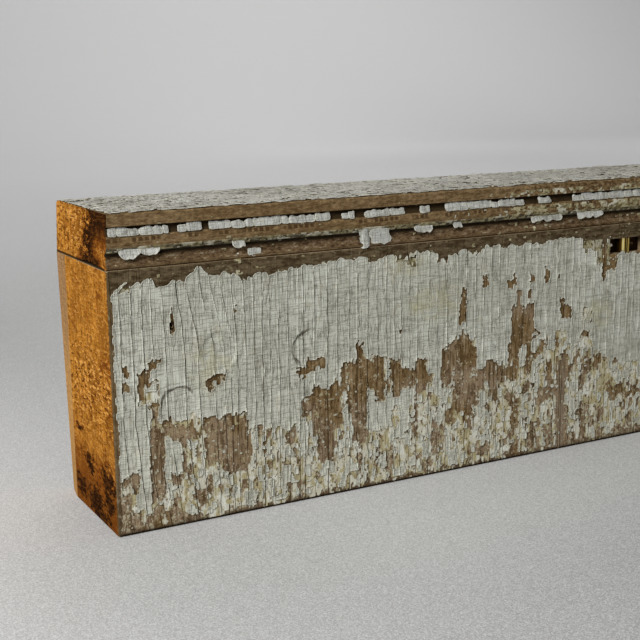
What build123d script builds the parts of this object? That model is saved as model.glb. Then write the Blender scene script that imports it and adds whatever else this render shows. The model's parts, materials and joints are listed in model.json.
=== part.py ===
from build123d import *
import os

# Salvaged painted wood trim: a moulded cap strip on a thick frieze timber, sawn off at both ends,
# with a small brass fitting let into the timber's face.
# Millimetres. X runs along the length, the painted face looks along -Y, and Z is up.
# The origin is at the middle of the base.

# Overall sizes
LENGTH = 914.4
TIMBER_DEPTH = 88.9
TIMBER_HEIGHT = 145.8
CAP_HEIGHT = 29.2
CAP_BACK_INSET = 2.0

# Where the faces lie
LEFT = -LENGTH / 2
FRONT = -TIMBER_DEPTH / 2
BACK = TIMBER_DEPTH / 2
TOP = TIMBER_HEIGHT + CAP_HEIGHT

# The cap's moulded face from the top down, as heights above the base
FILLET_FOOT = 168.4
COVE_FOOT = 163.2
BEAD_FOOT = 156.9
QUIRK_SLOPE = 154.7
QUIRK_HEAD = 154.0
QUIRK_FOOT = 153.0
BAND_HEAD = 152.7
LIP_HEAD = 148.2
LIP_NOSE = 147.2

# The same face, as depths behind the front plane
COVE_DEPTH = 3.0
COVE_MIDDLE_DEPTH = 2.2
COVE_UNDERCUT = 0.7
BEAD_SETBACK = 0.6
BEAD_NOSE_SETBACK = 0.05
QUIRK_SLOPE_DEPTH = 2.0
QUIRK_DEPTH = 3.4
BAND_SETBACK = 1.1
BAND_HOLLOW = 1.7
LIP_SETBACK = 0.5
LIP_NOSE_SETBACK = 0.1
LIP_FOOT_SETBACK = 1.3

# The cap's worn corners, and the lean of its saw cut at the left end
TOP_FRONT_ROUND = 0.9
TOP_BACK_ROUND = 3.2
CAP_END_LEAN = 1.2

# The timber's worn arrises
HEAD_EASE = 0.9
FOOT_FRONT_EASE = 1.6
FOOT_BACK_EASE = 2.4
END_EASE = 0.7

# The back corner of the left end, where the saw cut left a twisted facet
FACET_WIDTH = 16.5
FACET_FALL_TOP = 0.25
FACET_FALL_FOOT = 3.0

# The gap that shows in the joint at the left end, and the point where it runs out
GAP_FRONT = 6.0
GAP_BACK = 47.0
GAP_HEIGHT = 1.5
GAP_REACH = 42.0
GAP_TIP_WIDTH = 20.0
GAP_TIP_HEIGHT = 0.1

# Old nail hole in the face, from the left end and the base
NAIL_HOLE_ALONG = 34.4
NAIL_HOLE_UP = 113.4
NAIL_HOLE_RADIUS = 1.2
NAIL_HOLE_DEPTH = 14.0

# Round hammer dents in the face: distance along, height, and the turn of the deep side
DENT_RADIUS = 10.6
DENT_DEPTH = 0.5
DENT_TILT = 1.1
DENTS = ((118.0, 91.0, 20.0), (37.0, 68.5, -35.0), (61.5, 96.0, 75.0))

# Upright score in the face
SCORE_ALONG = 302.6
SCORE_TOP = 66.0
SCORE_WIDTH = 0.9
SCORE_DEPTH = 1.3

# Drying checks in the cap's top: distance along, distance behind the front plane, and length
CHECK_WIDTH = 1.3
CHECK_DEPTH = 2.6
CHECK_FOOT_SHARE = 0.6
CHECK_FOOT_WIDTH = 0.3
CHECKS = ((131.0, 22.0, 13.0), (199.0, 28.0, 18.0), (267.0, 28.0, 24.0), (305.0, 34.0, 12.0),
          (326.0, 39.0, 15.0), (418.0, 25.0, 22.0), (566.0, 31.0, 30.0), (731.0, 22.0, 20.0))

# The brass fitting and its pocket, from the left end and the base
FITTING_ALONG = 356.0
FITTING_UP = 131.4
POCKET_WIDTH = 30.0
POCKET_HEIGHT = 10.2
POCKET_DEPTH = 7.0
LEAF_WIDTH = 29.0
LEAF_HEIGHT = 9.6
LEAF_THICKNESS = 1.2
BARREL_RADIUS = 4.8
BARREL_RECESS = 0.4
PIN_OFFSET = 9.0
PIN_HEAD_RADIUS = 1.3
PIN_HEAD_RISE = 0.8
PIN_SHANK_RADIUS = 0.6
PIN_LENGTH = 8.0

EPS = 0.5  # how far a cutter runs past the face that it cuts
CLEAR = 10.0  # how far a trimming block stands clear of the piece


def cap_section():
    """The cap's section, in depth behind the front plane and height above the base."""
    cap_depth = TIMBER_DEPTH - CAP_BACK_INSET
    cove_head = (COVE_DEPTH, FILLET_FOOT - COVE_UNDERCUT)
    cove_middle = (COVE_MIDDLE_DEPTH, (FILLET_FOOT + COVE_FOOT) / 2 - COVE_UNDERCUT)
    cove_foot = (BEAD_SETBACK, COVE_FOOT)
    bead_nose = (BEAD_NOSE_SETBACK, (COVE_FOOT + BEAD_FOOT) / 2)
    bead_foot = (BEAD_SETBACK, BEAD_FOOT)
    band_head = (BAND_SETBACK, BAND_HEAD)
    band_middle = (BAND_HOLLOW, (BAND_HEAD + LIP_HEAD) / 2)
    lip_head = (LIP_SETBACK, LIP_HEAD)
    lip_nose = (LIP_NOSE_SETBACK, LIP_NOSE)
    lip_foot = (LIP_FOOT_SETBACK, TIMBER_HEIGHT)
    back_head = (cap_depth, TOP - TOP_BACK_ROUND)
    top_back = (cap_depth - TOP_BACK_ROUND, TOP)
    top_front = (TOP_FRONT_ROUND, TOP)
    fillet_head = (0, TOP - TOP_FRONT_ROUND)
    with BuildSketch() as section:
        with BuildLine():
            RadiusArc(fillet_head, top_front, TOP_FRONT_ROUND)
            Polyline(fillet_head, (0, FILLET_FOOT), cove_head)
            ThreePointArc(cove_head, cove_middle, cove_foot)
            ThreePointArc(cove_foot, bead_nose, bead_foot)
            Polyline(bead_foot, (QUIRK_SLOPE_DEPTH, QUIRK_SLOPE), (QUIRK_DEPTH, QUIRK_HEAD),
                     (QUIRK_DEPTH, QUIRK_FOOT), band_head)
            ThreePointArc(band_head, band_middle, lip_head)
            ThreePointArc(lip_head, lip_nose, lip_foot)
            Polyline(lip_foot, (cap_depth, TIMBER_HEIGHT), back_head)
            RadiusArc(top_back, back_head, TOP_BACK_ROUND)
            Line(top_back, top_front)
        make_face()
    return section.sketch


def lens(width, height):
    """A flat lens, pointed at both ends, lying along its own X."""
    with BuildSketch() as outline:
        with BuildLine():
            ThreePointArc((-width / 2, 0), (0, height / 2), (width / 2, 0))
            ThreePointArc((-width / 2, 0), (0, -height / 2), (width / 2, 0))
        make_face()
    return outline.sketch


def end_gap():
    """The worn hollow under the cap that opens the joint at the left end and runs out along it."""
    middle = FRONT + (GAP_FRONT + GAP_BACK) / 2
    mouth = Plane((LEFT - EPS, middle, TIMBER_HEIGHT), x_dir=(0, 1, 0), z_dir=(1, 0, 0))
    inner = mouth.offset(GAP_REACH)
    return loft([mouth * lens(GAP_BACK - GAP_FRONT, 2 * GAP_HEIGHT),
                 inner * lens(GAP_TIP_WIDTH, 2 * GAP_TIP_HEIGHT)])


def drying_checks():
    """Short pointed cracks along the grain in the cap's top."""
    cutters = []
    for along, behind, length in CHECKS:
        at_top = Plane((LEFT + along, FRONT + behind, TOP + EPS), x_dir=(1, 0, 0), z_dir=(0, 0, -1))
        foot = at_top.offset(CHECK_DEPTH + EPS)
        cutters.append(loft([at_top * lens(length, CHECK_WIDTH),
                             foot * lens(length * CHECK_FOOT_SHARE, CHECK_FOOT_WIDTH)]))
    return cutters


def end_trimmer():
    """Everything to the left of the cap's leaning saw cut."""
    with BuildSketch(Plane.XZ) as outline:
        with BuildLine():
            Polyline((LEFT - CLEAR, TIMBER_HEIGHT - CLEAR), (LEFT, TIMBER_HEIGHT - CLEAR),
                     (LEFT, TIMBER_HEIGHT), (LEFT + CAP_END_LEAN, TOP),
                     (LEFT + CAP_END_LEAN, TOP + CLEAR), (LEFT - CLEAR, TOP + CLEAR), close=True)
        make_face()
    return extrude(outline.sketch, amount=TIMBER_DEPTH, both=True)


def cap_moulding():
    """The moulded strip, run to its section and cut by the saw at both ends."""
    section_plane = Plane((LEFT, FRONT, 0), x_dir=(0, 1, 0), z_dir=(1, 0, 0))
    strip = extrude(section_plane * cap_section(), amount=LENGTH)
    strip -= end_trimmer()
    strip -= end_gap()
    strip -= drying_checks()
    return strip


def facet_cutter():
    """The twisted wedge that the saw took off the back corner of the left end."""
    inner = BACK - FACET_WIDTH

    def wedge(height, fall):
        level = Plane((0, 0, height))
        return level * make_face(Polyline((LEFT - EPS, inner), (LEFT, inner), (LEFT + fall, BACK + EPS),
                                          (LEFT - EPS, BACK + EPS), close=True))

    return loft([wedge(-EPS, FACET_FALL_FOOT), wedge(TIMBER_HEIGHT + EPS, FACET_FALL_TOP)])


def face_plane(along, up, behind=0.0):
    """A plane on the painted face, looking into the timber, at a distance along it and a height."""
    return Plane((LEFT + along, FRONT + behind, up), x_dir=(1, 0, 0), z_dir=(0, 1, 0))


def hammer_dent(along, up, turn):
    """A shallow round dent, deeper on one side, as a hammer's face leaves it."""
    tilted = face_plane(along, up) * Rot(0, 0, turn) * Rot(0, DENT_TILT, 0)
    return tilted * extrude(Circle(DENT_RADIUS), amount=DENT_DEPTH, both=True)


def pin_places():
    """Where the fitting's pins go, along the face."""
    return (FITTING_ALONG - PIN_OFFSET, FITTING_ALONG + PIN_OFFSET)


def leaf_front():
    """How far the brass leaf's front lies behind the painted face."""
    return POCKET_DEPTH - LEAF_THICKNESS


def long_edges(body):
    """The timber's four long edges: foot front, foot back, head front, head back."""
    along = body.edges().filter_by(Axis.X).group_by(Axis.Z)
    return along[0].sort_by(Axis.Y) + along[-1].sort_by(Axis.Y)


def frieze_timber():
    """The thick timber, with its worn arrises, nail hole, dents, score and pocket."""
    body = Box(LENGTH, TIMBER_DEPTH, TIMBER_HEIGHT, align=(Align.CENTER, Align.CENTER, Align.MIN))
    body = fillet(long_edges(body)[0], FOOT_FRONT_EASE)
    body = fillet(body.edges().filter_by(Axis.X).filter_by_position(Axis.Y, BACK, BACK).sort_by(Axis.Z)[0],
                  FOOT_BACK_EASE)
    body = fillet(long_edges(body)[-2:], HEAD_EASE)
    body = chamfer(body.edges().filter_by(Axis.Z).sort_by(Axis.Y)[:2], END_EASE)
    body -= facet_cutter()
    body -= face_plane(NAIL_HOLE_ALONG, NAIL_HOLE_UP, -EPS) * extrude(Circle(NAIL_HOLE_RADIUS),
                                                                     amount=NAIL_HOLE_DEPTH + EPS)
    body -= [hammer_dent(*dent) for dent in DENTS]
    body -= face_plane(SCORE_ALONG, SCORE_TOP / 2 - EPS) * Box(SCORE_WIDTH, SCORE_TOP + EPS, 2 * SCORE_DEPTH)
    body -= face_plane(FITTING_ALONG, FITTING_UP) * Box(POCKET_WIDTH, POCKET_HEIGHT, 2 * POCKET_DEPTH)
    shank_reach = PIN_LENGTH - LEAF_THICKNESS
    for along in pin_places():
        body -= face_plane(along, FITTING_UP, POCKET_DEPTH) * extrude(Circle(PIN_SHANK_RADIUS), amount=shank_reach)
    return body


def brass_fitting():
    """A leaf with a fat upright barrel in the middle and a pin hole on each side."""
    leaf_middle = leaf_front() + LEAF_THICKNESS / 2
    leaf = face_plane(FITTING_ALONG, FITTING_UP, leaf_middle) * Box(LEAF_WIDTH, LEAF_HEIGHT, LEAF_THICKNESS)
    axis_behind = BARREL_RECESS + BARREL_RADIUS
    barrel_foot = Plane((LEFT + FITTING_ALONG, FRONT + axis_behind, FITTING_UP - LEAF_HEIGHT / 2))
    barrel = barrel_foot * extrude(Circle(BARREL_RADIUS), amount=LEAF_HEIGHT)
    behind_leaf = face_plane(FITTING_ALONG, FITTING_UP, POCKET_DEPTH) * Box(
        POCKET_WIDTH, POCKET_HEIGHT, CLEAR, align=(Align.CENTER, Align.CENTER, Align.MIN))
    fitting = leaf + barrel - behind_leaf
    for along in pin_places():
        fitting -= face_plane(along, FITTING_UP) * extrude(Circle(PIN_SHANK_RADIUS), amount=POCKET_DEPTH + EPS)
    return fitting


def round_head_pin():
    """One pin turned with a domed head, its head's underside at the origin and its point at +Z."""
    dome_radius = (PIN_HEAD_RADIUS ** 2 + PIN_HEAD_RISE ** 2) / (2 * PIN_HEAD_RISE)
    crown = (0, -PIN_HEAD_RISE)
    with BuildSketch(Plane.XZ) as half:
        with BuildLine():
            RadiusArc((PIN_HEAD_RADIUS, 0), crown, dome_radius)
            Polyline((PIN_HEAD_RADIUS, 0), (PIN_SHANK_RADIUS, 0), (PIN_SHANK_RADIUS, PIN_LENGTH),
                     (0, PIN_LENGTH), crown)
        make_face()
    return revolve(half.sketch, axis=Axis.Z)


def round_head_pins():
    """The two pins that hold the fitting to the timber."""
    return [face_plane(along, FITTING_UP, leaf_front()) * round_head_pin() for along in pin_places()]


def write_parts():
    """One STEP file for each piece, named after it."""
    os.makedirs("parts", exist_ok=True)
    pieces = {
        "cap_moulding": cap_moulding(),
        "frieze_timber": frieze_timber(),
        "brass_fitting": brass_fitting(),
        "round_head_pins": Compound(children=round_head_pins()),
    }
    for name, shape in pieces.items():
        shape.label = name
        export_step(shape, f"parts/{name}.step")
        print(name, "solids", len(shape.solids()), "volume", round(shape.volume))


write_parts()
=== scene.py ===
import json
import math

import bpy
import numpy as np
from mathutils import Matrix, Vector

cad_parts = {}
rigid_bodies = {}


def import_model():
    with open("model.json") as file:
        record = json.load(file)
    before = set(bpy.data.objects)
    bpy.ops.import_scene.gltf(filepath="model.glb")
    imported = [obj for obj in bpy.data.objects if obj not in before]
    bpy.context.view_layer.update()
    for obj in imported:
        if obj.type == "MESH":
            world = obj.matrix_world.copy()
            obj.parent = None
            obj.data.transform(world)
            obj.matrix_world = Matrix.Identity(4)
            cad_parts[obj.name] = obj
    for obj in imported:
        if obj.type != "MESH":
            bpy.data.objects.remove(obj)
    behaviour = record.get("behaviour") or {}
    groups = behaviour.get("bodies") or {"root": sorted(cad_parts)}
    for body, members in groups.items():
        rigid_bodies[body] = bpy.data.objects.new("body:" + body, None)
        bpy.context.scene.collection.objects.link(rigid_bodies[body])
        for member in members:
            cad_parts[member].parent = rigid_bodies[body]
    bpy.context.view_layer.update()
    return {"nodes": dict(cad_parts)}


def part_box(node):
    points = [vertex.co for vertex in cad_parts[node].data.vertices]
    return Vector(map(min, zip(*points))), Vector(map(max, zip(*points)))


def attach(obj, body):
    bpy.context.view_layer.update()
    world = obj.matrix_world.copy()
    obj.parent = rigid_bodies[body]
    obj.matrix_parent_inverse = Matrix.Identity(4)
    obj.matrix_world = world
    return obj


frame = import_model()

# Salvaged painted wood trim: weathered wood, what is left of two coats of paint, and a small brass fitting.
# Lengths are millimetres: along from the left end, behind from the front plane, up from the base.
MM = 0.001
TIMBER_LOW, TIMBER_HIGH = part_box("frieze_timber")
CAP_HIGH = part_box("cap_moulding")[1]
FITTING_LOW, FITTING_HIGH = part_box("brass_fitting")
LEFT = TIMBER_LOW.x / MM
FRONT = TIMBER_LOW.y / MM
LENGTH = TIMBER_HIGH.x / MM - LEFT
CAP_BACK = CAP_HIGH.y / MM - FRONT
TIMBER_TOP = TIMBER_HIGH.z / MM
TOP = CAP_HIGH.z / MM
BARREL_MIDDLE = (FITTING_LOW.x + FITTING_HIGH.x) / 2 / MM - LEFT

# The camera, beside the left end
CAMERA_PLACE = (-0.6519, -0.62765, 0.2460)
CAMERA_YAW = 28.73
CAMERA_PITCH = 11.84
CAMERA_ROLL = -0.61
CAMERA_LENS = 67.0

# The surround, the lamps as place, aim, size and power, and the floor's sweep, in metres and watts
SURROUND = 0.37
WINDOW = ((-1.75, -0.95, 1.15), (-0.35, 0.0, 0.05), 0.8, 54.0)
BACKDROP_LAMP = ((1.7, 1.7, 2.9), (2.1, 4.6, 0.7), 2.2, 88.0)
FLOOR_REACH = 9.0
FLOOR_RUN = 7.0
SWEEP_START = 2.8
SWEEP_RADIUS = 1.6

# The moulding's bands and the joint below it, as heights, the plate marks, and the near-black painted shade
# inside the joint
FILLET_FOOT = 168.4
COVE_FOOT = 163.2
BEAD_FOOT = 156.9
QUIRK = 153.5
LIP_HEAD = 148.2
JOINT_TOP = 146.9
PLATE_MARKS = (160.2, 162.3)
PLATE_MARK_PITCH = 3.5
JOINT_SHADE_TONE = (22, 14, 7)

# The face: where its films start and stop, where the photograph ends, and where the detail gets coarser
FILM_START = 1.5
FILM_HEAD = 139.0
LEFT_FILM_END = 199.4
SEEN_END = 376.0
NEAR_END = 384.0

# Marks in the timber's face, as its solid has them, and the round at the back of the cap's top
NAIL_HOLE = (34.4, 113.4)
DENT_RADIUS = 10.6
DENT_SINK = 0.55
DENTS = ((118.0, 91.0), (37.0, 68.5), (61.5, 96.0))
SCORE_ALONG = 302.6
SCORE_TOP = 66.0
TOP_BACK_ROUND = 3.2

# How thick each film is, the seed that the cracks of both coats share, and how far a film's edge is eased
GREY_THICK = 0.3
CREAM_THICK = 0.17
TOP_THICK = 0.25
CRUST_THICK = 0.25
CHECK_THICK = 0.05
PLATE_THICK = 0.75
CRACK_SEED = 116
EDGE_EASE = 0.32

# How many random values a noise pattern has along each side before it repeats
NOISE_SIDE = 256

# Cracks across the face, read from the left end
CRACKS = (5.5, 12.0, 18.0, 23.2, 29.3, 37.5, 43.0, 50.5, 56.8, 63.0, 69.5, 76.5, 82.7, 88.0, 92.6, 98.2,
          104.3, 110.8, 114.0, 121.0, 129.6, 136.0, 143.9, 149.3, 156.6, 163.2, 169.4, 174.8, 179.2, 185.5,
          190.7, 199.4, 206.0, 212.4, 220.0, 226.8, 233.6, 239.8, 245.5, 251.5, 257.2, 263.8, 270.0, 275.4,
          281.0, 288.8, 297.0, 304.0, 310.2, 315.6, 320.6, 328.0, 334.5, 340.4, 346.8, 351.6, 357.4, 362.3,
          368.5, 376.0)
WIDE_CRACKS = (37.5, 88.0, 114.0, 129.6, 156.6, 199.4, 226.8, 297.0)

# The upper edge of the grey film, and its foot, as (along, up)
FILM_HEADS = ((0, 131), (2.8, 135.9), (6, 137), (8, 139), (13, 138), (16, 140.5), (24, 140.8),
              (26.5, 134.6), (31, 136), (35, 137.8), (44, 138.6), (48.4, 140.6), (49.5, 144.3),
              (51.5, 144.2), (54, 141), (60, 137.2), (65, 139.2), (71.8, 139), (76, 133.5),
              (77, 136.3), (86, 136.2), (100, 138), (130, 139.5), (160, 138.5), (186, 139.5),
              (214, 137.5), (240, 140), (268, 138.5), (290, 140.5), (316, 140), (334, 139), (376, 139))
FILM_FOOT = ((0, 34), (8, 34), (12, 38), (13, 14), (19, 12), (20, 66), (28, 62), (31, 58), (45, 62),
             (52, 60), (72, 60), (76, 49), (100, 48), (110, 46), (112, 64), (124, 68), (138, 70),
             (140, 78), (148, 82), (156, 81), (170, 80), (172, 78), (180, 74), (186, 70), (190, 73),
             (198, 76), (199, 66), (208, 66), (209, 79), (217, 84), (234, 84), (236, 66), (252, 65),
             (258, 58), (281, 66), (282, 80), (304, 79), (312, 72), (320, 76), (330, 68), (337, 62),
             (344, 56), (356, 52), (376, 50))

# Places where both coats are gone, as (along, along, up, up)
BARE = ((6, 9, 88, 95), (5, 9, 80, 85.5), (14, 17.5, 72.5, 88), (17, 21, 82, 91), (20, 25, 89, 94.5),
        (2, 8, 4, 24), (8, 13, 2, 14), (21, 26, 6, 16), (28, 34, 3, 12), (16, 21, 2, 9),
        (24, 28, 93, 95.5), (21, 25, 58, 72), (19.5, 28, 18, 58), (27, 33, 52, 62), (32, 38, 48, 57),
        (36, 46, 50, 58), (38, 41, 30, 52), (50, 78, 52, 60), (52, 80, 36, 52), (62, 76, 25, 36),
        (72, 80, 28, 50), (53, 58, 75, 83.5), (58, 65.5, 79.5, 83.5), (83.5, 87, 46, 53.5),
        (89, 93, 40.5, 46), (101, 108, 36, 44), (108, 112, 79, 81), (110, 122, 75.5, 81),
        (116, 128, 79, 86), (113, 116, 72, 76), (112.5, 120, 50, 62), (119, 138, 38, 67),
        (122, 133, 22, 40), (9, 13, 24, 36), (3, 9, 28, 33), (44, 52, 12, 20), (31, 37, 22, 29),
        (138, 142, 60, 79), (143, 156, 50, 80), (149, 154, 79, 87), (148, 150.5, 87, 90.5),
        (152, 155, 88, 91), (146, 156, 31, 50), (156, 168, 62, 78), (161, 168, 52, 80),
        (168.5, 172, 55, 66), (173, 180, 54, 78), (180, 192, 60, 72), (190, 198, 55, 76),
        (196, 202, 61, 67), (189, 193, 50, 54), (186, 192, 38, 43), (187, 192, 28, 36),
        (202, 207, 15, 36), (206, 212, 20, 30), (212, 218, 32, 42), (194, 203, 7, 14),
        (209, 217, 55, 79), (213, 219, 68, 83), (218, 231, 55, 85), (221, 225, 84, 88.5),
        (230, 235.5, 62, 79), (218, 232, 40, 56), (225, 232, 30, 42), (232, 238, 40, 60),
        (221, 227, 93, 108), (223, 227, 107, 114), (238, 243, 115.5, 120.5), (236, 252, 52, 66),
        (245, 252, 42, 54), (236, 247, 7, 15), (149, 152, 10, 24), (169, 174, 8, 22),
        (250, 256, 50, 65), (255, 268, 52, 62), (258, 262, 112, 118), (262, 265, 114, 119),
        (275, 279, 114, 118.5), (274, 277, 103, 110), (265, 269, 100, 112), (261, 270, 74, 101),
        (259, 268, 58, 75), (270, 275, 76, 96), (273.5, 279.5, 80, 101), (273, 278, 54, 80),
        (279, 287, 79.5, 81.5), (279, 288, 66, 71), (285, 288, 70, 74), (287, 291, 113, 122),
        (297, 300, 113, 116), (300, 304, 90, 100), (302, 310, 88, 96), (301, 306, 86, 90),
        (290, 295, 46, 61), (283, 300, 38, 42.5), (284, 291, 34, 40), (272, 278, 43, 49),
        (299, 305, 55, 62), (302, 309, 50, 66), (306, 313, 52, 58), (299.5, 307, 0, 55),
        (307, 310, 0, 30), (259, 264, 37, 45), (263, 269, 20, 40), (289, 296, 10, 18),
        (291, 298, 3, 12), (275, 283, 4, 14), (263, 268, 2, 13), (284, 287, 18, 23),
        (320, 326, 72, 77), (315, 319, 60, 66), (319, 328, 54, 57), (324, 328, 48, 56),
        (330, 337, 52, 62), (318, 323, 40, 48), (319, 326, 22, 30), (320, 325, 2, 22),
        (328, 333, 11, 18), (335, 341, 12, 21), (334, 342, 2, 8), (310, 317, 3, 10),
        (347, 351, 51, 54), (342, 348, 30, 38), (349, 357, 30, 38), (345, 376, 29.5, 33),
        (349, 376, 1, 8), (360, 366, 10, 18), (334.4, 338.3, 112, 142), (337, 346, 115, 121),
        (341, 348, 118, 125), (205, 213, 132.5, 140), (33.2, 35.6, 109, 122), (71, 73, 117.5, 120),
        (178, 180.5, 93, 96), (340.5, 371.5, 125.9, 142))

# Places where only the grey film is gone
CREAM = ((176, 190, 134, 140), (228, 237, 136, 140), (75, 84, 134, 140), (319, 327, 84, 92),
         (281, 287, 136, 140), (14, 26, 70, 84), (2, 12, 135, 141))

# Places where the grey film is wholly gone and the cream coat is left
OLD_COAT = ((317, 331, 130.5, 141), (329.6, 334.2, 120, 141), (338.4, 340.6, 118, 140))

# Pieces of the grey film that hold on below its foot
HOLD_ONS = ((27, 38, 30, 48), (156, 173, 36, 61), (62, 66, 43, 50), (140, 142.5, 34, 70), (178, 185, 34, 66),
            (2, 12, 38, 66), (110, 116, 28, 48), (203, 208, 52, 66), (13, 19, 14, 60))

# Runs of paint that are left in the cove, and flakes that hang in the quirk
COVE_RUNS = ((1.5, 35), (40, 54), (58, 132.5), (140, 148.5), (155, 182.5), (193, 200), (211, 270), (281, 291),
             (308.5, 402), (409, 431), (440, 447), (455, 520), (533, 588), (595, 602), (611, 668), (690, 731),
             (736, 760), (778, 786), (792, 858), (866, 911))

# Dark knots and stains on the timber's left end, as (behind, up, half width, half height, depth)
STAINS = ((14, 28, 12, 7, 1.0), (43, 28, 7, 4.5, 0.8), (36, 11, 11, 7, 1.2), (14, 15, 8, 5, 1.0),
          (13, 94, 8, 4, 0.6), (14, 131, 6, 3, 0.5), (62, 47, 8, 2.4, 0.8), (46, 33, 12, 3, 0.6),
          (30, 4, 16, 5, 0.7), (62, 12, 10, 6, 0.5))

# Yellowed patches of the grey film, as (along, up, half width, half height)
TINTS = ((204, 109, 17, 10), (56, 90, 12, 14), (183, 134, 14, 7), (190.5, 109, 4, 5), (330, 88, 12, 10))

# Painted shade along one side of the rims of two hammer marks, as (along, up) and the way the shaded side
# lies
RINGS = ((118.0, 91.0, -0.95, 0.3), (37.0, 68.5, -0.35, 0.94))

# Loose flakes, as (along, along, up, up, depth at the top, depth at the foot, roll, scallop, thickness)
FLAKES = ((6.5, 18.4, 151.2, 156.9, 1.4, -0.9, 0.3, 2.2, 0.5),
          (18.6, 29.8, 152.6, 157.0, 1.4, -0.6, 0.2, 1.4, 0.5),
          (72.0, 79.4, 152.9, 156.6, 1.5, -0.5, 0, 0.3, 0.5),
          (80.5, 88.5, 147.3, 151.2, 0.9, 0.2, 0, -0.8, 0.5),
          (152.2, 159.4, 145.9, 156.6, 0.6, -0.6, 1.6, 0, 0.6),
          (159.2, 172.6, 147.0, 156.2, 0.8, -0.2, 0.3, 0, 0.6),
          (190.0, 202.6, 152.2, 156.3, 1.4, -0.6, 0, 0.4, 0.5),
          (217.8, 223.6, 153.3, 156.2, 1.4, -0.3, 0, 0, 0.5),
          (276.0, 300.4, 152.5, 155.6, 1.4, -0.4, 0, 0, 0.5),
          (312.6, 333.6, 152.2, 156.2, 1.4, -0.5, 0, 0, 0.5))


def tone(*levels):
    """A colour as a shader takes it, from red, green and blue from 0 to 255 as a screen shows them."""
    shares = [level / 255 for level in levels]
    parts = [share / 12.92 if share <= 0.04045 else ((share + 0.055) / 1.055) ** 2.4 for share in shares]
    return (*parts, 1.0)


# Camera, floor and lamps

def make_camera():
    """The camera at the left, level with the top and looking a little down."""
    camera = bpy.data.objects.new("camera", bpy.data.cameras.new("camera"))
    bpy.context.scene.collection.objects.link(camera)
    camera.data.sensor_width = 36
    camera.data.lens = CAMERA_LENS
    turn = Matrix.Rotation(math.radians(-CAMERA_YAW), 4, "Z")
    tip = Matrix.Rotation(math.radians(90 - CAMERA_PITCH), 4, "X")
    roll = Matrix.Rotation(math.radians(CAMERA_ROLL), 4, "Z")
    camera.matrix_world = Matrix.Translation(CAMERA_PLACE) @ turn @ tip @ roll
    bpy.context.scene.camera = camera


def make_lamp(name, place, aim, size, power):
    """A square soft lamp at a place, turned to a point."""
    light = bpy.data.lights.new(name, "AREA")
    light.size = size
    light.energy = power
    lamp = bpy.data.objects.new(name, light)
    bpy.context.scene.collection.objects.link(lamp)
    reach = Vector(place) - Vector(aim)
    lamp.matrix_world = Matrix.Translation(place) @ reach.to_track_quat("Z", "Y").to_matrix().to_4x4()


def make_studio():
    """Soft light from the upper left, an even surround, and a lamp on the backdrop."""
    scene = bpy.context.scene
    scene.view_settings.view_transform = "Standard"
    scene.world = bpy.data.worlds.new("surround")
    scene.world.use_nodes = True
    background = scene.world.node_tree.nodes["Background"]
    background.inputs["Color"].default_value = (1.0, 1.0, 1.0, 1.0)
    background.inputs["Strength"].default_value = SURROUND
    make_lamp("window", *WINDOW)
    make_lamp("backdrop_lamp", *BACKDROP_LAMP)


def make_floor():
    """A pale sheet with painted light and shade on it: flat round the trim, swept up in a curve far behind
    it.
    """
    deselect_all()
    bpy.ops.mesh.primitive_grid_add(x_subdivisions=2, y_subdivisions=80, size=2)
    floor = bpy.context.object
    floor.name = "floor"
    points = np.zeros(len(floor.data.vertices) * 3)
    floor.data.vertices.foreach_get("co", points)
    points = points.reshape(-1, 3)
    points[:, 0] *= FLOOR_REACH
    run = -FLOOR_REACH + (points[:, 1] + 1) / 2 * (FLOOR_REACH + FLOOR_RUN)
    angle = np.clip((run - SWEEP_START) / SWEEP_RADIUS, 0, math.pi / 2)
    past = np.maximum(run - SWEEP_START - SWEEP_RADIUS * math.pi / 2, 0)
    points[:, 1] = np.minimum(run, SWEEP_START) + SWEEP_RADIUS * np.sin(angle)
    points[:, 2] = SWEEP_RADIUS * (1 - np.cos(angle)) + past
    floor.data.vertices.foreach_set("co", points.ravel())
    bpy.ops.object.shade_smooth()
    floor.data.materials.append(floor_paper())


def floor_paper():
    """Pale paper with painted light and shade: a painted pool of light at the front left, a painted shadow
    round the trim's left corner, painted light by its foot and painted bands going back to the sweep; with a
    fine grain and specks.
    """
    finish = Finish("floor_paper")
    along, behind, step, fall = finish.along, finish.behind, finish.step, finish.fall
    blotch = finish.noise((700, 700, 700), detail=1, seed=3)
    grain = finish.noise((2.2, 2.2, 2.2), seed=4)
    speck = finish.speckle((0.7, 0.7, 0.7), seed=5)
    # Painted light and shade: lighter in a pool at the front left and darker away from it, a painted shadow
    # round the left corner, lighter by the foot, and bands of painted light and shade towards the sweep.
    light_pool_reach = span(along + 250, behind - 150)
    corner_shadow = fall(span(along - 30, behind + 50), 40, 150)
    foot_light = step(along, 20, 160) * step(behind, -170, -50)
    colour = finish.layers(
        (192, 191, 189),
        (step(light_pool_reach + blotch * 90, 40, 890), (142, 142, 141)),
        (corner_shadow * 0.5, (160, 160, 158)),
        (foot_light * 0.6, (182, 182, 180)),
        (step(behind, 250, 1300), (196, 196, 196)),
        (step(along, 700, 2300) * fall(behind, 2050, 2850), (162, 162, 162)),
        (step(behind, 2400, 4200), (186, 186, 186)),
        (step(along, 1450, 2750) * fall(behind, 2700, 4100), (170, 170, 171)),
        (step(light_pool_reach, 1500, 2600) * fall(behind, -400, 300), (186, 186, 185)),
        (step(speck, 0.49, 0.64) * 0.3, (90, 90, 89)),
        (step(speck, 0.5, 0.36) * 0.35, (232, 232, 231)))
    return finish.surface(colour, 0.7, height=grain, bump=0.25)


# Shader arithmetic

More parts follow.
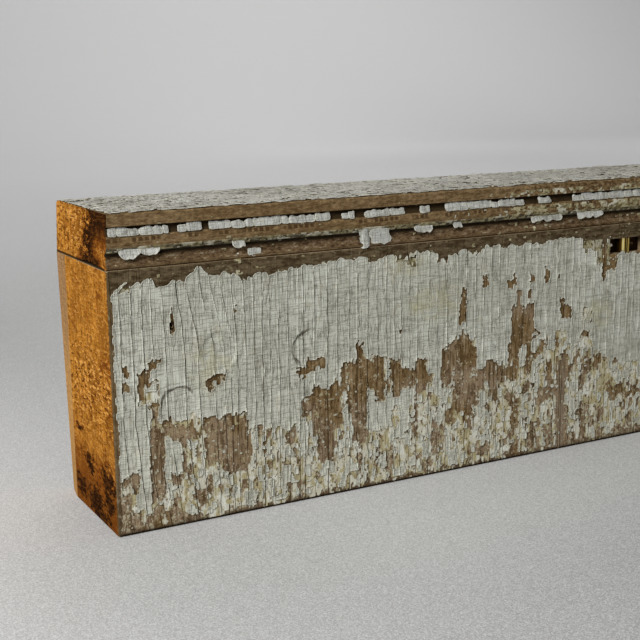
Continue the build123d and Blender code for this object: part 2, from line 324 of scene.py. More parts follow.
class Value:
    """A number or colour that varies over a surface. Arithmetic on it adds the nodes."""

    def __init__(self, finish, socket):
        self.finish = finish
        self.socket = socket

    def __add__(self, other):
        return self.finish.math("ADD", self, other)

    def __radd__(self, other):
        return self.finish.math("ADD", other, self)

    def __sub__(self, other):
        return self.finish.math("SUBTRACT", self, other)

    def __rsub__(self, other):
        return self.finish.math("SUBTRACT", other, self)

    def __mul__(self, other):
        return self.finish.math("MULTIPLY", self, other)

    def __rmul__(self, other):
        return self.finish.math("MULTIPLY", other, self)

    def __truediv__(self, other):
        return self.finish.math("DIVIDE", self, other)

    def __pow__(self, other):
        return self.finish.math("POWER", self, other)

    def __abs__(self):
        return self.finish.math("ABSOLUTE", self)


class Finish:
    """A surface finish: its material, and patterns that follow the piece in millimetres."""

    def __init__(self, name):
        self.material = bpy.data.materials.new(name)
        self.material.use_nodes = True
        self.tree = self.material.node_tree
        self.tree.nodes.clear()
        origin = (-LEFT * MM, -FRONT * MM, 0)
        place = self.node("ShaderNodeTexCoord", out="Object")
        moved = self.node("ShaderNodeVectorMath", {"operation": "ADD"}, {0: place, 1: origin})
        self.place = self.node("ShaderNodeVectorMath", {"operation": "SCALE"}, {0: moved, "Scale": 1 / MM})
        self.along = self.part(self.place, "X")
        self.behind = self.part(self.place, "Y")
        self.up = self.part(self.place, "Z")

    def node(self, kind, settings=None, sockets=None, out=0):
        """Any node: its kind, its settings, then the values or links of its sockets."""
        node = self.tree.nodes.new(kind)
        for name, setting in (settings or {}).items():
            setattr(node, name, setting)
        for name, value in (sockets or {}).items():
            if isinstance(value, Value):
                self.tree.links.new(value.socket, node.inputs[name])
            else:
                node.inputs[name].default_value = value
        return Value(self, node.outputs[out]) if node.outputs else None

    def math(self, operation, *values):
        """One step of arithmetic on one or two values."""
        return self.node("ShaderNodeMath", {"operation": operation}, dict(enumerate(values)))

    def part(self, vector, axis):
        """One part of a vector: X, Y or Z."""
        return self.node("ShaderNodeSeparateXYZ", sockets={0: vector}, out=axis)

    def facing(self, axis, sign=1):
        """One part of the surface's own normal."""
        return self.part(self.node("ShaderNodeNewGeometry", out="Normal"), axis) * sign

    def step(self, value, low, high):
        """0 below low and 1 above high, with a smooth rise between."""
        sockets = {"Value": value, "From Min": low, "From Max": high}
        return self.node("ShaderNodeMapRange", {"interpolation_type": "SMOOTHSTEP"}, sockets)

    def fall(self, value, low, high):
        """1 below low and 0 above high, with a smooth fall between."""
        return 1 - self.step(value, low, high)

    def band(self, value, low, high, soft):
        """1 between low and high, 0 outside, with soft edges."""
        return self.step(value, low - soft, low + soft) * self.fall(value, high - soft, high + soft)

    def mix(self, share, first, second):
        """The first colour where share is 0, and the second where it is 1."""
        first, second = (colour if isinstance(colour, Value) else tone(*colour) for colour in (first, second))
        return self.node("ShaderNodeMix", {"data_type": "RGBA"}, {0: share, 6: first, 7: second}, out=2)

    def layers(self, colour, *coats):
        """A colour with others laid over it in turn, each given as its share and its colour."""
        for share, over in coats:
            colour = self.mix(share, colour, over)
        return colour

    def spread(self, size, offset):
        """The place, counted in cells of a size in millimetres along X, Y and Z, and moved."""
        shares = tuple(1 / length for length in size)
        scaled = self.node("ShaderNodeVectorMath", {"operation": "MULTIPLY"}, {0: self.place, 1: shares})
        return self.node("ShaderNodeVectorMath", {"operation": "ADD"}, {0: scaled, 1: offset})

    def noise(self, size, detail=2.0, rough=0.5, seed=0):
        """Noise from 0 to 1, with features of a size in millimetres along X, Y and Z."""
        moved = self.spread(size, (7.3 * seed, 3.1 * seed, 5.7 * seed))
        sockets = {"Vector": moved, "Scale": 1.0, "Detail": detail, "Roughness": rough, "Distortion": 0.0}
        return self.node("ShaderNodeTexNoise", sockets=sockets)

    def speckle(self, size, seed, rough=0.8):
        """Noise that looks like coarse grains."""
        return self.noise(size, rough=rough, seed=seed)

    def cells(self, size, seed):
        """Blocks with a value each, from 0 to 1, of a size in millimetres."""
        moved = self.spread(size, (seed, seed, seed))
        sockets = {"Vector": moved, "Scale": 1.0}
        colour = self.node("ShaderNodeTexVoronoi", {"distance": "CHEBYCHEV"}, sockets, out="Color")
        return self.part(colour, "X")

    def lines(self, size, width, seed, detail=1.0):
        """Thin lines, 1 on the line: where a noise of that size passes its middle."""
        return self.fall(abs(self.noise(size, detail=detail, seed=seed) - 0.5), 0.0, width)

    def attribute(self, name):
        """A value that the piece carries on its points."""
        return self.node("ShaderNodeAttribute", {"attribute_name": name}, out="Fac")

    def spot(self, along, up, wide, high, soft=0.4):
        """A soft oval on the face."""
        return self.fall(span((self.along - along) / wide, (self.up - up) / high), 1 - soft, 1 + soft)

    def surface(self, colour, roughness, metallic=0.0, gloss=0.06, height=None, bump=0.5, depth=0.3):
        """The shader: its colour, roughness and relief, whose depth is in millimetres."""
        sockets = {"Base Color": colour, "Roughness": roughness, "Metallic": metallic,
                   "Specular IOR Level": gloss}
        if height is not None:
            relief = {"Strength": bump, "Distance": depth * MM, "Height": height}
            sockets["Normal"] = self.node("ShaderNodeBump", sockets=relief)
        shader = self.node("ShaderNodeBsdfPrincipled", sockets=sockets)
        self.node("ShaderNodeOutputMaterial", sockets={"Surface": shader})
        return self.material


def span(across, up):
    """The length of a slanting reach, from its two parts."""
    return (across ** 2 + up ** 2) ** 0.5


# Wood

def end_grain(finish, stains):
    """The sawn end: orange wood with fuzzy fibres torn by the saw, darker where stains say."""
    step = finish.step
    fibre = finish.speckle((4, 4.6, 1.8), seed=11)
    fleck = finish.speckle((4, 5.4, 2.2), seed=13)
    broad = finish.noise((20, 14, 26), detail=3, seed=12)
    streak = finish.noise((10, 4.4, 24), detail=3, rough=0.7, seed=14)
    split = finish.lines((14, 6, 26), 0.02, seed=15, detail=3) * step(broad, 0.42, 0.6)
    fuzzy = finish.band(finish.up, 56, 96, 12) * 0.55 + step(finish.up, 142, 150) * 0.4 + 0.45
    colour = finish.layers(
        (130, 82, 25),
        (step(broad + streak * 0.6, 0.6, 0.95), (168, 112, 40)),
        (step(streak, 0.52, 0.64) * 0.75, (118, 64, 14)),
        (step(fibre, 0.5, 0.62) * 0.7 * fuzzy, (216, 158, 82)),
        (step(fleck, 0.51, 0.62) * 0.95 * fuzzy, (84, 43, 8)),
        (split * 0.7, (70, 34, 8)),
        (step(stains, 0.04, 0.5) * 0.8, (104, 54, 12)),
        (step(stains, 0.42, 0.98) * (0.96 - step(fibre, 0.46, 0.58) * 0.24), (24, 11, 4)))
    return colour, fibre * 1.6 - fleck * 1.6 + streak * 0.5 - split


def sawn_ends(finish, reach):
    """Where the left end and the right end are: the left one goes in as far as reach."""
    left = finish.step(finish.facing("X", -1), 0.7, 0.8) * finish.fall(finish.along, reach, 4.0)
    right = finish.step(finish.facing("X"), 0.7, 0.8) * finish.step(finish.along, LENGTH - 1, LENGTH - 0.5)
    return left, right


def weathered(finish, light, middle, dark, grain):
    """Bare old wood in three browns, streaked along its grain."""
    broad = finish.noise((60, 40, 24), detail=3, seed=21)
    streak = finish.noise(grain, detail=4, rough=0.65, seed=22)
    light_share, dark_share = finish.step(broad, 0.35, 0.65), finish.step(streak, 0.48, 0.72)
    return finish.layers(middle, (light_share, light), (dark_share, dark)), streak


def cap_stain(finish):
    """The dark stain that has soaked into the cap's left end from its face and its joint."""
    up, behind, fall = finish.up, finish.behind, finish.fall
    fuzz = finish.noise((4, 5.5, 2.4), detail=3, rough=0.8, seed=35)
    drift = finish.noise((9, 16, 12), seed=36)
    edge = behind + (fuzz - 0.5) * 76 + (drift - 0.5) * 22
    low_front = fall(up + fuzz * 12, 160, 168) * fall(behind + fuzz * 20, 26, 36)
    light_front = fall(behind + (fuzz - 0.5) * 44, 10, 24) * fall(up, 158, 172)
    stain = fall(edge, 29, 43) * (0.95 - light_front * 0.26 - low_front * 0.45)
    return stain + fall(up + fuzz * 9, 152, 157) * finish.band(behind, 10, 48, 5) * 0.7


def moulding_wood():
    """The cap: brown fillets with old plate marks, crusted grooves, orange sawn ends, and painted shade in
    the cove, the quirk and the joint.
    """
    finish = Finish("moulding_wood")
    up, behind, step, band = finish.up, finish.behind, finish.step, finish.band
    bare, streak = weathered(finish, (114, 95, 68), (104, 85, 58), (84, 67, 44), (14, 2, 1.4))
    rub = finish.noise((9, 9, 3), detail=3, seed=31)
    hair = finish.speckle((4.2, 3, 1.7), seed=37)
    scale = finish.speckle((3.2, 3, 1.7), seed=39, rough=0.75)
    rightward = step(finish.along + rub * 60, 245, 320)
    square = step(abs(finish.math("FRACT", finish.along / PLATE_MARK_PITCH) - 0.5), 0.36, 0.28)
    marks = square * step(finish.noise((15, 50, 50), seed=32), 0.44, 0.58)
    marks = marks * (band(up, *PLATE_MARKS, 0.3) * 0.8 + band(up, FILLET_FOOT + 0.4, TOP, 0.5) * 0.15)
    hollow = band(up, TIMBER_TOP + 1.6, QUIRK - 0.4, 0.6)
    grit = finish.speckle((4, 3, 2), seed=33)
    crust = band(up, QUIRK + 0.2, BEAD_FOOT + 0.3, 0.5)
    crust_grain = finish.noise((5, 2, 0.9), detail=4, rough=0.7, seed=34)
    crust_tone = finish.mix(step(crust_grain, 0.4, 0.62), (58, 52, 39), (118, 113, 96))
    # Painted shade: a near-black line in the quirk and along the cap's foot at the joint.
    quirk_and_joint_shade = band(up, QUIRK - 0.9, QUIRK + 0.5, 0.3) + finish.fall(up, TIMBER_TOP + 0.2, TIMBER_TOP + 1.2)
    back_face = step(behind, CAP_BACK - 1.2, CAP_BACK - 0.6)
    left, right = sawn_ends(finish, 3.0)
    fresh, fibre = end_grain(finish, cap_stain(finish) * left)
    # Painted shade: the cap's face inside the joint is painted near black.
    joint_shade = finish.fall(up, JOINT_TOP - 0.3, JOINT_TOP) * step(behind, 2, 4)
    colour = finish.layers(
        bare,
        (step(rub, 0.5, 0.75) * 0.5, (126, 104, 74)),
        (step(hair, 0.48, 0.62) * 0.6, (72, 53, 31)),
        (step(hair, 0.44, 0.34) * 0.55, (138, 116, 84)),
        (step(scale, 0.5, 0.6) * rightward * 0.75, (58, 42, 24)),
        (step(scale, 0.42, 0.33) * rightward * 0.6, (140, 122, 88)),
        (marks, (54, 38, 22)),
        (hollow * 0.8, (84, 67, 48)),
        (hollow * step(grit, 0.48, 0.38) * 0.8, (46, 34, 22)),
        (hollow * step(grit, 0.55, 0.62) * 0.7, (116, 102, 82)),
        (hollow * step(grit, 0.66, 0.7) * 0.5, (150, 142, 122)),
        (crust * 0.9, crust_tone),
        # Painted shade: the wood in the cove, under and between its paint plates, is painted near black.
        (band(up, COVE_FOOT + 0.2, FILLET_FOOT + 0.1, 0.3) * 0.9, (36, 28, 17)),
        (quirk_and_joint_shade * 0.85, (26, 19, 11)),
        (back_face, finish.mix(streak, (108, 92, 70), (138, 120, 94))),
        (left + right, fresh),
        (joint_shade * 0.85, JOINT_SHADE_TONE))
    relief = streak * 0.5 + hair + crust_grain * crust + grit * hollow * 1.2
    relief = relief * (1 - left - right) + (left + right) * fibre * 1.4
    return finish.surface(colour, 0.78, gloss=0.01, height=relief, bump=0.9, depth=0.6)


def bare_face(finish, hair, ghost, dust):
    """The timber's bare face: browns that shift, crumbs of old paint, a dark band under the cap, darker
    towards its foot with a painted contact shadow along it, and painted shade in the nail hole.
    """
    along, up, step, fall = finish.along, finish.up, finish.step, finish.fall
    hue = finish.noise((26, 30, 34), seed=41)
    blotch = finish.noise((8, 9, 12), detail=3, rough=0.7, seed=48)
    band_grain = finish.speckle((9, 6, 2.2), seed=44)
    crumb = finish.speckle((3.6, 3, 2.4), seed=47)
    band_tone = finish.layers(
        (58, 47, 31),
        (step(band_grain, 0.36, 0.62), (88, 76, 57)),
        (step(crumb, 0.6, 0.68) * 0.5, (122, 112, 88)),
        (step(crumb, 0.42, 0.34) * 0.55, (42, 31, 18)))
    by_score = finish.band(along, 301.0, 307.0, 1.2) * fall(up, SCORE_TOP - 6, SCORE_TOP + 2)
    score = finish.band(along, SCORE_ALONG - 0.5, SCORE_ALONG + 0.5, 0.2) * fall(up, SCORE_TOP - 2, SCORE_TOP)
    return finish.layers(
        (110, 90, 61),
        (step(hue + fall(up, 44, 74) * 0.24 - 0.1, 0.46, 0.6), (126, 109, 88)),
        (step(blotch, 0.52, 0.64) * 0.6, (84, 66, 41)),
        (step(blotch, 0.46, 0.34) * 0.5, (142, 124, 97)),
        (step(hair, 0.48, 0.62) * 0.7, (72, 55, 32)),
        (step(hair, 0.44, 0.32) * 0.5, (140, 122, 96)),
        (step(dust + fall(up, 20, 36) * 0.06, 0.6, 0.66) * 0.75, (162, 155, 132)),
        (step(dust, 0.42, 0.34) * 0.75, (58, 43, 25)),
        (ghost * 0.6, (48, 36, 20)),
        (step(up + hair * 3, 133.5, 136.5), band_tone),
        (by_score * 0.7, (116, 102, 86)),
        (score * 0.85, (40, 30, 20)),
        # Darker towards the foot, then a near-black painted contact shadow along the lowest 2 mm.
        (fall(up + hair * 3, 2.6, 6.0) * 0.6, (56, 45, 31)),
        (fall(up, 1.0, 2.2) * 0.9, (20, 15, 9)),
        (fall(along + dust * 3, 2.6, 4.2) * 0.75, (66, 54, 36)),
        # Painted shade: the nail hole and its rim are painted near black.
        (finish.spot(*NAIL_HOLE, 2.0, 2.6) * 0.9, (14, 10, 6)))


def timber_wood():
    """The timber: grey-brown under the cap, bare brown where its paint is gone, orange sawn ends."""
    finish = Finish("timber_wood")
    behind, up, step = finish.behind, finish.up, finish.step
    ghost = finish.lines((5.2, 30, 220), 0.01, seed=42)
    hair = finish.speckle((2.2, 8, 16), seed=43, rough=0.75)
    dust = finish.speckle((2.4, 2.4, 2.8), seed=46)
    rough_sawn, streak = weathered(finish, (142, 124, 98), (124, 106, 80), (96, 80, 58), (40, 3, 1.3))
    left, right = sawn_ends(finish, 3.4)
    fresh, fibre = end_grain(finish, timber_stains(finish) * left)
    worn_tone = finish.mix(step(dust, 0.4, 0.6), (58, 46, 30), (104, 88, 62))
    facet_tone = finish.mix(step(up + hair * 20, 60, 130), (180, 138, 84), (142, 114, 82))
    fresh = finish.layers(
        fresh,
        (finish.fall(behind + dust * 6, 2.8, 5.4), worn_tone),
        (step(behind, 71.5, 73.5) * left * 0.75, facet_tone))
    # Painted shade: the timber's face inside the joint is painted near black.
    joint_shade = step(up, TIMBER_TOP - 0.7, TIMBER_TOP - 0.3) * step(behind, 2, 4)
    colour = finish.layers(
        rough_sawn,
        (step(finish.facing("Y", -1), 0.5, 0.7), bare_face(finish, hair, ghost, dust)),
        (left + right, fresh),
        (joint_shade * 0.9, JOINT_SHADE_TONE))
    relief = hair * 0.9 - ghost * 0.8 + (left + right) * fibre * 1.6 + streak * 0.4
    return finish.surface(colour, 0.8, gloss=0.01, height=relief, bump=0.8, depth=0.6)


def timber_stains(finish):
    """Dark knots and stains low on the timber's left end, and a few small ones higher up."""
    fuzz = finish.noise((4, 5.5, 2.6), detail=3, rough=0.8, seed=51)
    coarse = finish.noise((6, 9, 9), detail=3, rough=0.6, seed=52)
    stain = finish.fall(finish.up + fuzz * 44 + coarse * 30, 50, 92) * 0.6
    ragged = (fuzz - 0.5) * 4.16 + (coarse - 0.5) * 1.2
    for behind, up, wide, high, depth in STAINS:
        reach = span((finish.behind - behind) / wide, (finish.up - up) / high)
        stain = stain + finish.fall(reach + ragged, 0.2, 1.25) * depth
    return finish.math("MINIMUM", stain, 1.0)


# Paint

def grey_paint(name, light, middle, dark, cream=0.35, crackle=1.0, far=0.0, rings=(), tints=()):
    """Old oil paint: grey with a fine crossing crackle, painted dark in its cracks as their shade, and paler
    at its edges as a painted highlight where they lift.
    """
    finish = Finish(name)
    step, low_down = finish.step, finish.fall(finish.up, 40, 76)
    crack = finish.attribute("crack")
    broad = finish.noise((40, 40, 30), detail=3, seed=61)
    patchy = finish.noise((7, 7, 9), detail=3, rough=0.6, seed=62)
    upright = finish.noise((1.1, 6, 9), detail=3, rough=0.75, seed=63)
    level = finish.noise((7, 5, 0.9), detail=3, rough=0.75, seed=64)
    hair = finish.lines((1.3, 8, 24), 0.04, seed=65)
    cross = finish.lines((16, 8, 1.5), 0.035, seed=66)
    speck = finish.speckle((0.8, 0.8, 0.8), seed=67, rough=0.7)
    rightward = step(finish.along, 150, 330)
    drift = finish.noise((12, 12, 16), detail=3, rough=0.6, seed=68)
    colour = finish.layers(
        middle,
        (step(broad + patchy * 0.5, 0.55, 0.95), light),
        (step(upright, 0.5, 0.7) * (0.5 + 0.45 * low_down) * crackle, dark),
        (step(level, 0.52, 0.74) * 0.6 * crackle, dark),
        (step(upright, 0.48, 0.3) * 0.65 * crackle, light),
        (step(level, 0.46, 0.3) * 0.5 * crackle, light),
        (hair * 0.55 * crackle, (92, 86, 68)),
        (cross * 0.4 * crackle, (98, 92, 74)),
        (step(speck, 0.6, 0.72) * 0.6, (88, 81, 62)),
        (step(speck, 0.4, 0.28) * 0.5, (204, 205, 197)),
        (step(drift, 0.52, 0.66) * rightward * 0.4, dark),
        (step(drift, 0.46, 0.34) * rightward * 0.35, (190, 190, 180)),
        (step(patchy, 0.58, 0.72) * cream, (158, 153, 126)),
        (low_down * 0.25, (184, 183, 168)),
        (step(finish.along, 130, 400) * far, dark))
    for tint in tints:
        share = finish.spot(*tint, soft=0.7) * step(patchy + upright * 0.3, 0.5, 0.72)
        colour = finish.mix(share * 0.55, colour, (156, 152, 120))
    # Painted highlight: the film's edges and the lifted lips of its plates are painted paler.
    edge_highlight = step(finish.attribute("edge_wear_and_light"), 0.45, 0.95) * (step(finish.up, 45, 80) * 0.35 + 0.15)
    colour = finish.mix(edge_highlight, colour, (188, 185, 170))
    relief = upright + level * 0.8 - hair * 0.8 - cross * 0.5 + speck * 0.3
    for along, up, lean_along, lean_up in rings:
        across, height = finish.along - along, finish.up - up
        reach = span(across, height)
        ring = finish.fall(abs(reach - DENT_RADIUS + patchy * 5 - 2.5) + speck * 1.2, 0.9, 1.7)
        ring = ring * step((across * lean_along + height * lean_up) / reach, 0.0, 0.6)
        ring = ring * step(patchy, 0.3, 0.46)
        # Painted shade: a dark arc on one side of each hammer mark's rim.
        colour = finish.mix(ring * 0.75, colour, (66, 54, 36))
        relief = relief - ring * 1.5
    # Painted shade: the film that bridges each crack is painted dark.
    colour = finish.layers(
        colour,
        (step(crack, 0.2, 0.6) * 0.66, (92, 84, 66)),
        (step(crack, 0.55, 0.9) * 0.9, (46, 38, 26)))
    return finish.surface(colour, 0.6, height=relief, bump=0.9, depth=0.32)


def cream_paint():
    """The older coat under the grey: cream and off-white, streaked, with rusty brown flecks, and painted
    shade at its edges and in its cracks.
    """
    finish = Finish("cream_coat")
    step, high = finish.step, finish.step(finish.up, 96, 124)
    patchy = finish.noise((4, 4, 7), detail=4, rough=0.65, seed=71)
    streak = finish.speckle((1.6, 6, 9), seed=72, rough=0.75)
    fleck = finish.speckle((2.2, 2, 3), seed=73)
    patch = finish.cells((3.2, 3.2, 5.6), seed=9)
    chalk = finish.cells((5, 5, 7.5), seed=21)
    colour = finish.layers(
        (156, 147, 114),
        (step(patch * 0.7 + patchy * 0.6, 0.6, 0.7), (180, 177, 160)),
        (step(chalk + (patchy - 0.5) * 0.5, 0.78, 0.84) * 0.65, (196, 198, 188)),
        (step(streak, 0.5, 0.72) * 0.7, (116, 104, 78)),
        (step(streak, 0.45, 0.3) * 0.5, (192, 190, 176)),
        (step(fleck, 0.57, 0.65) * 0.9, (92, 75, 48)),
        # Painted shade: the coat's edges are painted darker.
        (step(finish.attribute("edge_wear_and_light"), 0.5, 1.0) * 0.3, (96, 84, 60)),
        (high * 0.5, (112, 106, 74)),
        (high * step(fleck, 0.5, 0.58) * 0.8, (72, 62, 38)),
        # Painted shade in the cracks.
        (step(finish.attribute("crack"), 0.3, 0.75) * 0.9, (50, 40, 26)))
    return finish.surface(colour, 0.7, height=streak + fleck * -0.8 + patchy, bump=0.8, depth=0.4)


def check_shade():
    """Painted shade for the bare face's checks: dark brown, broken up."""
    finish = Finish("check_shade")
    break_up = finish.noise((2, 2, 3), seed=75)
    return finish.surface(finish.mix(break_up, (38, 28, 16), (70, 56, 36)), 0.85)


def old_crust():
    """Paint that has weathered to a grey-green crust."""
    finish = Finish("old_crust")
    mottle = finish.noise((4, 3, 3), detail=4, rough=0.8, seed=76)
    blot = finish.noise((16, 8, 8), detail=3, seed=77)
    colour = finish.layers(
        (96, 86, 58),
        (finish.step(mottle, 0.38, 0.6), (150, 142, 112)),
        (finish.step(blot + mottle * 0.4, 0.72, 0.85), (170, 167, 150)))
    return finish.surface(colour, 0.75, height=mottle, bump=0.7, depth=0.4)


# Brass

def old_brass():
    """Brass with painted light: painted highlight stripes down the barrel's round, and painted near-black
    shade in the recess.
    """
    finish = Finish("old_brass")
    tarnish = finish.noise((1.2, 1.2, 3), detail=3, seed=81)
    proud = finish.fall(finish.behind + tarnish * 0.8, 4.6, 5.9)
    across = finish.along - BARREL_MIDDLE
    # Painted highlights: bright stripes down the barrel stand in for its reflections.
    highlight_stripe = finish.band(across, -3.2, -1.7, 0.25) + finish.step(across, 0.5, 0.9)
    highlight_stripe = highlight_stripe + finish.band(across, -0.7, -0.3, 0.15) * 0.7
    colour = finish.layers(
        (60, 39, 6),
        (highlight_stripe * (0.7 + tarnish * 0.5), (250, 220, 120)),
        # A brighter painted highlight in the left stripe, then painted near-black shade deep in the recess.
        (finish.band(across, -2.8, -2.3, 0.2) * 0.7, (255, 250, 214)),
        (1 - proud, (34, 20, 6)))
    return finish.surface(colour, 0.34 - 0.12 * proud + tarnish * 0.1, metallic=0.9, gloss=0.5,
                          height=tarnish, bump=0.2, depth=0.1)


def pin_brass():
    """The pins: the left head painted near white as a painted glint, the other dark brass."""
    finish = Finish("pin_brass")
    glint_side = finish.fall(finish.along, BARREL_MIDDLE - 1, BARREL_MIDDLE + 1)
    return finish.surface(finish.mix(glint_side, (70, 48, 16), (255, 246, 226)), 0.3, metallic=0.25, gloss=0.5)


# Making the pieces

def deselect_all():
    """Leaves no piece selected, so that the next operator touches its own alone."""
    for thing in bpy.context.view_layer.objects:
        thing.select_set(False)


def lattice(seed):
    """Smooth noise over two directions, from 0 to 1, and the same on each run."""
    table = np.random.default_rng(seed).random((NOISE_SIDE, NOISE_SIDE))

    def noise(across, up):
        column, row = np.floor(across).astype(int), np.floor(up).astype(int)
        rightward, upward = smooth(across - column, 0, 1), smooth(up - row, 0, 1)
        left, right = column % NOISE_SIDE, (column + 1) % NOISE_SIDE
        foot, head = row % NOISE_SIDE, (row + 1) % NOISE_SIDE
        low = table[left, foot] * (1 - rightward) + table[right, foot] * rightward
        high = table[left, head] * (1 - rightward) + table[right, head] * rightward
        return low * (1 - upward) + high * upward
    return noise


def blocks(seed):
    """Noise in plain blocks, one value for each whole number of each direction."""
    table = np.random.default_rng(seed).random((NOISE_SIDE, NOISE_SIDE))

    def noise(across, up):
        column, row = np.floor(across).astype(int), np.floor(up).astype(int)
        return table[column % NOISE_SIDE, row % NOISE_SIDE]
    return noise


def smooth(value, low, high):
    """0 at low and 1 at high, with a smooth rise between."""
    share = np.clip((value - low) / (high - low), 0, 1)
    return share * share * (3 - 2 * share)


def in_boxes(boxes, along, up):
    """Which points lie in any of the boxes."""
    found = np.zeros(along.shape, bool)
    for low_along, high_along, low_up, high_up in boxes:
        found |= (along > low_along) & (along < high_along) & (up > low_up) & (up < high_up)
    return found


def part_corners(kept):
    """Drops one cell wherever two touch by a corner alone, so that the film's edge stays clean."""
    for _ in range(3):
        corner, above, beside, opposite = kept[:-1, :-1], kept[1:, :-1], kept[:-1, 1:], kept[1:, 1:]
        falling = corner & opposite & ~above & ~beside
        rising = above & beside & ~corner & ~opposite
        kept[1:, 1:] &= ~falling
        kept[:-1, 1:] &= ~rising
    return kept


def round_off(along, up, kept, turns=1):
    """Moves the points on a film's edge towards their neighbours on it, so that the steps become curves."""
    padded = np.pad(kept, 1)
    level = padded[:-1, 1:-1] != padded[1:, 1:-1]
    upright = padded[1:-1, :-1] != padded[1:-1, 1:]
    count = np.zeros(along.shape)
    count[:, :-1] += level
    count[:, 1:] += level
    count[:-1] += upright
    count[1:] += upright
    grids = [along, up]
    for _ in range(turns):
        for number, grid in enumerate(grids):
            total = np.zeros(grid.shape)
            total[:, :-1] += level * grid[:, 1:]
            total[:, 1:] += level * grid[:, :-1]
            total[:-1] += upright * grid[1:]
            total[1:] += upright * grid[:-1]
            eased = (1 - EDGE_EASE) * grid + EDGE_EASE * total / np.maximum(count, 1)
            grids[number] = np.where(count == 2, eased, grid)
    return grids


def middles(grid):
    """The middle of each cell of a grid."""
    return (grid[:-1, :-1] + grid[1:, :-1] + grid[:-1, 1:] + grid[1:, 1:]) / 4


def at_edge(kept):
    """1 at each grid point that a lost cell touches, and 0 inside the film."""
    padded = np.pad(kept, 1)
    whole = padded[:-1, :-1] & padded[1:, :-1] & padded[:-1, 1:] & padded[1:, 1:]
    return (~whole).astype(float)


def lay_film(name, along, behind, up, kept, marks, thickness, material):
    """A film of paint: a grid over its points, cut back to the cells that are left, then thickened."""
    rows, columns = along.shape
    deselect_all()
    bpy.ops.mesh.primitive_grid_add(x_subdivisions=columns - 1, y_subdivisions=rows - 1, size=1)
    piece = bpy.context.object
    piece.name = name
    points = np.stack([along + LEFT, behind + FRONT, up], axis=-1) * MM
    piece.data.vertices.foreach_set("co", points.ravel())
    for mark, values in marks.items():
        attribute = piece.data.attributes.new(mark, "FLOAT", "POINT")
        attribute.data.foreach_set("value", values.ravel())
    bpy.context.tool_settings.mesh_select_mode = (False, False, True)
    bpy.ops.object.mode_set(mode="EDIT")
    bpy.ops.mesh.select_all(action="DESELECT")
    bpy.ops.object.mode_set(mode="OBJECT")
    piece.data.polygons.foreach_set("select", ~kept.ravel())
    bpy.ops.object.mode_set(mode="EDIT")
    bpy.ops.mesh.delete(type="FACE")
    bpy.ops.object.mode_set(mode="OBJECT")
    solidify = piece.modifiers.new("thickness", "SOLIDIFY")
    solidify.thickness = thickness * MM
    solidify.offset = -1
    bpy.ops.object.modifier_apply(modifier=solidify.name)
    bpy.ops.object.shade_smooth_by_angle(angle=math.radians(40))
    piece.data.materials.clear()
    piece.data.materials.append(material)
    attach(piece, "root")
    return piece


# The film on the face

def all_cracks():
    """The cracks that the photograph shows, and more like them to the right end."""
    draw = np.random.default_rng(5)
    cracks = list(CRACKS)
    while cracks[-1] < LENGTH - 11:
        cracks.append(cracks[-1] + draw.uniform(4.8, 8.2))
    return cracks


def column_lines(cracks, cell):
    """Upright grid lines, and which part of a crack each is: 2 or -2 on its lips, 1 or -1 on its bed."""
    lines, parts = [], []
    for left, right in zip(cracks[:-1], cracks[1:]):
        count = max(1, round((right - left - 1.2) / cell))
        inner = np.linspace(left + 0.6, right - 0.6, count + 1)
        lines += [left, left, *inner, right, right]
        parts += [1, 2, *[0] * len(inner), -2, -1]
    return np.array(lines), np.array(parts)


def crack_number(across):
    """A whole number for each crack, so that each one wanders in its own way."""
    return np.round(across * 7.3)


def crack_offsets(across, up, part):
    """How far each crack line stands off the crack's middle, and how open the crack is there."""
    gap, drift, flow = lattice(CRACK_SEED), lattice(CRACK_SEED + 1), lattice(CRACK_SEED + 2)
    number = crack_number(across)
    opening = smooth(gap(number, up / 17) + 0.25 * (gap(number, up / 5 + 60) - 0.5), 0.14, 0.6)
    wide = np.isin(np.round(across, 1), WIDE_CRACKS)
    opening = np.clip(opening * 0.72 + wide * 0.4 + 0.12, 0, 1)
    half = 0.05 + 0.15 * opening + 0.09 * wide
    away = np.where(abs(part) == 2, half + 0.13, half) * np.sign(part)
    away = away + (0.7 * (drift(number, up / 9) - 0.5) + 0.3 * (flow(number, up / 2.2) - 0.5)) * (part != 0)
    return away, opening * (abs(part) == 1)


def lean(along, up):
    """How far a crack has moved to the right at a height: they lean in one place, near the left end."""
    bulge = np.exp(-((along - 52) / 17) ** 2)
    low = 0.12 * np.exp(-((along - 25) / 22) ** 2) * np.clip(62 - up, 0, 62)
    return 8.5 * bulge * (1 - smooth(up, 95, 142)) + low


def dent_depth(along, up):
    """How far the hammer marks sink the face."""
    depth = np.zeros(along.shape)
    for middle, height in DENTS:
        reach = np.hypot(along - middle, up - height)
        depth = np.maximum(depth, DENT_SINK * (1 - smooth(reach, DENT_RADIUS - 0.5, DENT_RADIUS + 0.4)))
    return depth


def film_head(along):
    """The height of the grey film's upper edge."""
    swell = lattice(92)
    guess = 138.6 + 3.4 * (swell(along / 13, along * 0) - 0.5)
    return np.where(along < SEEN_END, np.interp(along, *np.transpose(FILM_HEADS)), guess)


def film_foot(along):
    """The height of the grey film's ragged foot."""
    swell = lattice(91)
    guess = 54 + 34 * (swell(along / 19, along * 0) - 0.5) + 16 * (swell(along / 7, along * 0 + 9) - 0.5)
    return np.where(along < SEEN_END, np.interp(along, *np.transpose(FILM_FOOT)), guess)


def bare_places():
    """The bare places that the photograph shows, and more like them past its right edge."""
    draw = np.random.default_rng(17)
    places = list(BARE)
    for _ in range(95):
        along = draw.uniform(SEEN_END + 2, LENGTH - 6)
        foot = float(film_foot(np.array([along]))[0])
        wide, high = draw.uniform(3, 12), draw.uniform(5, 30)
        low = draw.uniform(4, foot + 6 - high * 0.5)
        places.append((along, along + wide, low, low + high))
    for _ in range(16):
        along, low = draw.uniform(SEEN_END + 9, LENGTH - 12), draw.uniform(84, 124)
        places.append((along, along + draw.uniform(2.5, 6), low, low + draw.uniform(3, 14)))
    return places


